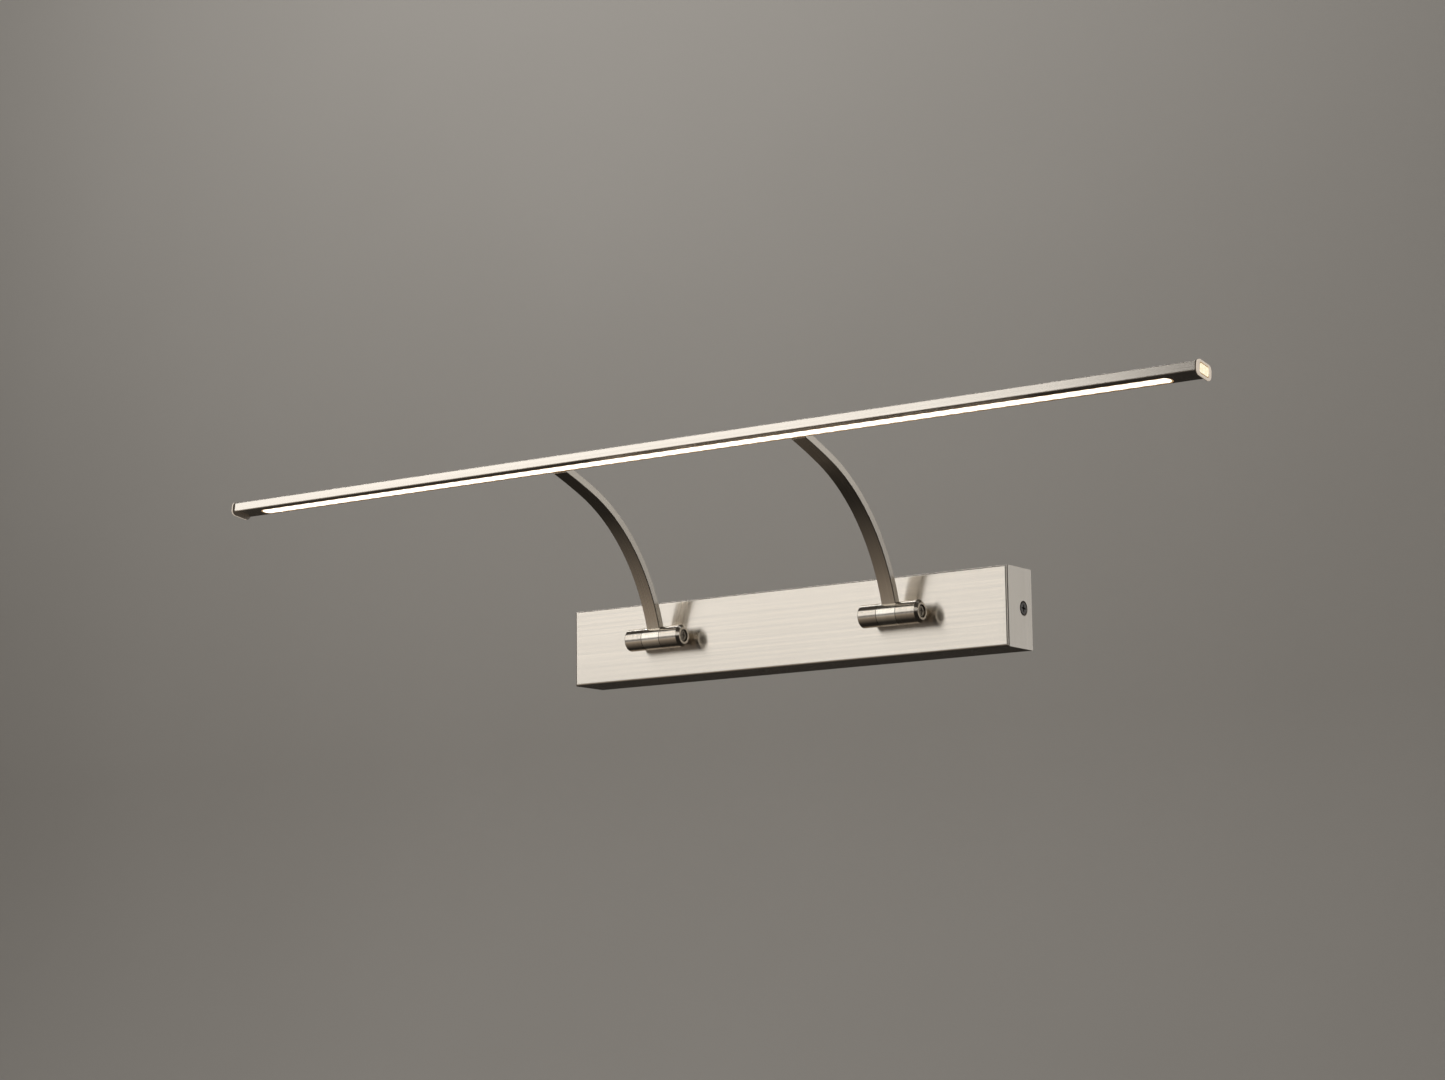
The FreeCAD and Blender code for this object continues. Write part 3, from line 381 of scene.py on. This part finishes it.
LOOKS = {
    "wall_cover": cover_nickel, "bar_channel": bar_nickel,
    "arm_left": arm_nickel, "arm_right": arm_nickel,
    "arm_barrel_left": lit_barrel_nickel, "arm_barrel_right": lit_barrel_nickel,
    "knuckle_base_left": knuckle_nickel, "knuckle_base_right": knuckle_nickel,
    "side_screws": black_screw, "pivot_screws": pivot_screw, "friction_washers": dark_nylon,
    "end_cap_left": cap, "end_cap_right": cap, "diffuser": diffuser,
    "wall_bracket": zinc, "driver_screws": zinc, "terminal_screws": zinc,
    "terminal_block_screw": zinc, "earth_screw": zinc, "earth_washer": zinc,
    "earth_ring_terminal": zinc, "knuckle_studs": zinc, "stud_nuts": zinc, "lock_washers": zinc,
    "arm_screws": zinc, "cable_grommet": rubber,
    "driver_case": white_plastic, "driver_lid": white_plastic, "driver_board": green_board,
    "driver_transformer": yellow_tape, "driver_capacitor": black_sleeve,
    "terminal_block": nylon, "terminal_tubes": brass,
    "live_lead": brown_wire, "neutral_lead": blue_wire, "earth_lead": green_wire,
    "output_lead_left": white_wire, "output_lead_right": white_wire,
    "arm_lead_left": white_wire, "arm_lead_right": white_wire,
    "led_board": white_board, "led_chips": phosphor,
}
for name, material in LOOKS.items():
    dress(name, material)


def studio_sweep():
    """A pale floor that curves up into a backdrop, all one sheet."""
    floor_z, back_y, top_z, half_width, front_y, bend = -0.75, 4.2, 4.5, 9.0, -8.0, 1.2
    steps = 16
    profile = [(front_y, floor_z)]
    for step in range(steps + 1):
        angle = math.radians(90.0 * step / steps)
        y = back_y - bend + bend * math.sin(angle)
        profile.append((y, floor_z + bend - bend * math.cos(angle)))
    profile.append((back_y, top_z))
    points, faces = [], []
    for y, z in profile:
        points += [(-half_width, y, z), (half_width, y, z)]
    for i in range(len(profile) - 1):
        faces.append((2 * i, 2 * i + 1, 2 * i + 3, 2 * i + 2))
    mesh = bpy.data.meshes.new("studio_sweep")
    mesh.from_pydata(points, [], faces)
    for face in mesh.polygons:
        face.use_smooth = True
    sweep = bpy.data.objects.new("studio_sweep", mesh)
    bpy.context.scene.collection.objects.link(sweep)
    s = Shader("sweep_paper")
    place = s.coordinates()["Object"]
    darker, paler = (0.60, 0.575, 0.54, 1.0), (0.64, 0.615, 0.58, 1.0)
    tint = s.mix_colour(s.noise(place, 1.5, 2.0), darker, paler)
    s.principled(Base_Color=tint, Roughness=0.9, Normal=s.bump(s.noise(place, 400.0), 0.0002))
    mesh.materials.append(s.material)


def reflection_flag():
    """A sheet below and behind the light that only reflections see: a painted reflection, near
    black where it stands in for shade, with a soft glow in front of the light on its left, and a
    fainter one on the left half of its back wall."""
    half, floor_z, wall_y, wall_z, wall_lean = 6.0, -0.7, 3.4, 1.0, 0.4
    glow_centre, glow_start, glow_end, glow_strength = (-1.5, -1.4, floor_z), 0.3, 1.72, 0.34
    wall_dark, wall_glow = 0.012, 0.2
    points = [(-half, -half, floor_z), (half, -half, floor_z)]
    points += [(half, wall_y, floor_z), (-half, wall_y, floor_z)]
    points += [(half, wall_y + wall_lean, wall_z), (-half, wall_y + wall_lean, wall_z)]
    mesh = bpy.data.meshes.new("reflection_flag")
    mesh.from_pydata(points, [], [(0, 1, 2, 3), (3, 2, 4, 5)])
    flag = bpy.data.objects.new("reflection_flag", mesh)
    flag.visible_camera = flag.visible_diffuse = flag.visible_shadow = False
    bpy.context.scene.collection.objects.link(flag)
    s = Shader("flag_painted_reflections")
    place = s.coordinates()["Object"]
    x, height = s.split(place)[0], s.split(place)[2]
    from_centre = s.vector("LENGTH", s.vector("SUBTRACT", place, glow_centre))
    on_floor = s.ramp(from_centre, glow_start, glow_end, glow_strength, 0.0)
    left_wall = s.math("MULTIPLY", s.ramp(height, -0.25, 0.3), s.ramp(x, 0.5, -0.5))
    on_wall = s.ramp(left_wall, 0.0, 1.0, wall_dark, wall_glow)
    # Uneven strength across the glow of this painted reflection.
    glow_unevenness = s.ramp(s.noise(place, 2.0, 2.0, 0.5), 0.3, 0.7, 0.85, 1.15)
    s.principled(
        Base_Color=(0.01, 0.01, 0.01, 1.0), Roughness=1.0, Emission_Color=(1.0, 0.84, 0.68, 1.0),
        Emission_Strength=s.math("MULTIPLY", s.math("ADD", on_floor, on_wall), glow_unevenness),
    )
    mesh.materials.append(s.material)


def softbox(name, place, target, width, height, watts):
    light = bpy.data.lights.new(name, "AREA")
    light.shape, light.size, light.size_y = "RECTANGLE", width, height
    light.energy, light.color = watts, (1.0, 0.985, 0.96)
    lamp = bpy.data.objects.new(name, light)
    lamp.location = place
    lamp.rotation_mode = "QUATERNION"
    lamp.rotation_quaternion = (Vector(target) - Vector(place)).to_track_quat("-Z", "Y")
    bpy.context.scene.collection.objects.link(lamp)


def studio_lights():
    # Name, place, the point it faces, width, height and watts.
    softbox("key_softbox", (-1.27, -1.46, 0.80), (0.0, -0.05, 0.05), 1.40, 1.55, 7.8)
    softbox("low_softbox", (-1.30, -1.60, -0.33), (0.0, -0.05, 0.02), 1.6, 0.65, 0.75)
    softbox("front_fill", (1.5, -1.5, 0.55), (0.05, -0.03, 0.0), 1.2, 0.8, 2.4)
    softbox("end_softbox", (1.6, 2.3, 0.55), (0.137, 0.0, 0.0), 1.3, 1.3, 3.5)
    softbox("top_softbox", (0.2, 0.6, 2.6), (0.0, 0.0, 0.0), 1.6, 1.2, 4.0)
    softbox("backdrop_light", (-3.3, 1.6, 3.6), (-3.3, 4.2, 0.8), 4.0, 1.0, 58.0)
    world = bpy.data.worlds.new("studio_room")
    world.use_nodes = True
    background = world.node_tree.nodes["Background"]
    background.inputs["Color"].default_value = (1.0, 0.90, 0.78, 1.0)
    background.inputs["Strength"].default_value = 0.05
    bpy.context.scene.world = world


def camera():
    """Below the light and to its right, looking up at it."""
    azimuth, elevation, roll = math.radians(35.015), math.radians(-9.33), math.radians(-0.58)
    aim, distance = Vector((-0.05476, 0.0, 0.05628)), 1.662
    sensor_width, focal_length = 36.0, 75.07
    forward = Vector((
        -math.sin(azimuth) * math.cos(elevation),
        math.cos(azimuth) * math.cos(elevation),
        -math.sin(elevation),
    ))
    right = forward.cross(Vector((0.0, 0.0, 1.0))).normalized()
    up = right.cross(forward)
    turned_right = right * math.cos(roll) + up * math.sin(roll)
    turned_up = up * math.cos(roll) - right * math.sin(roll)
    data = bpy.data.cameras.new("photo_camera")
    data.sensor_width, data.lens = sensor_width, focal_length
    data.clip_start, data.clip_end = 0.05, 60.0
    made = bpy.data.objects.new("photo_camera", data)
    made.matrix_world = Matrix((turned_right, turned_up, -forward)).transposed().to_4x4()
    made.location = aim - forward * distance
    bpy.context.scene.collection.objects.link(made)
    bpy.context.scene.camera = made


studio_sweep()
reflection_flag()
studio_lights()
camera()
bpy.context.scene.view_settings.view_transform = "Standard"
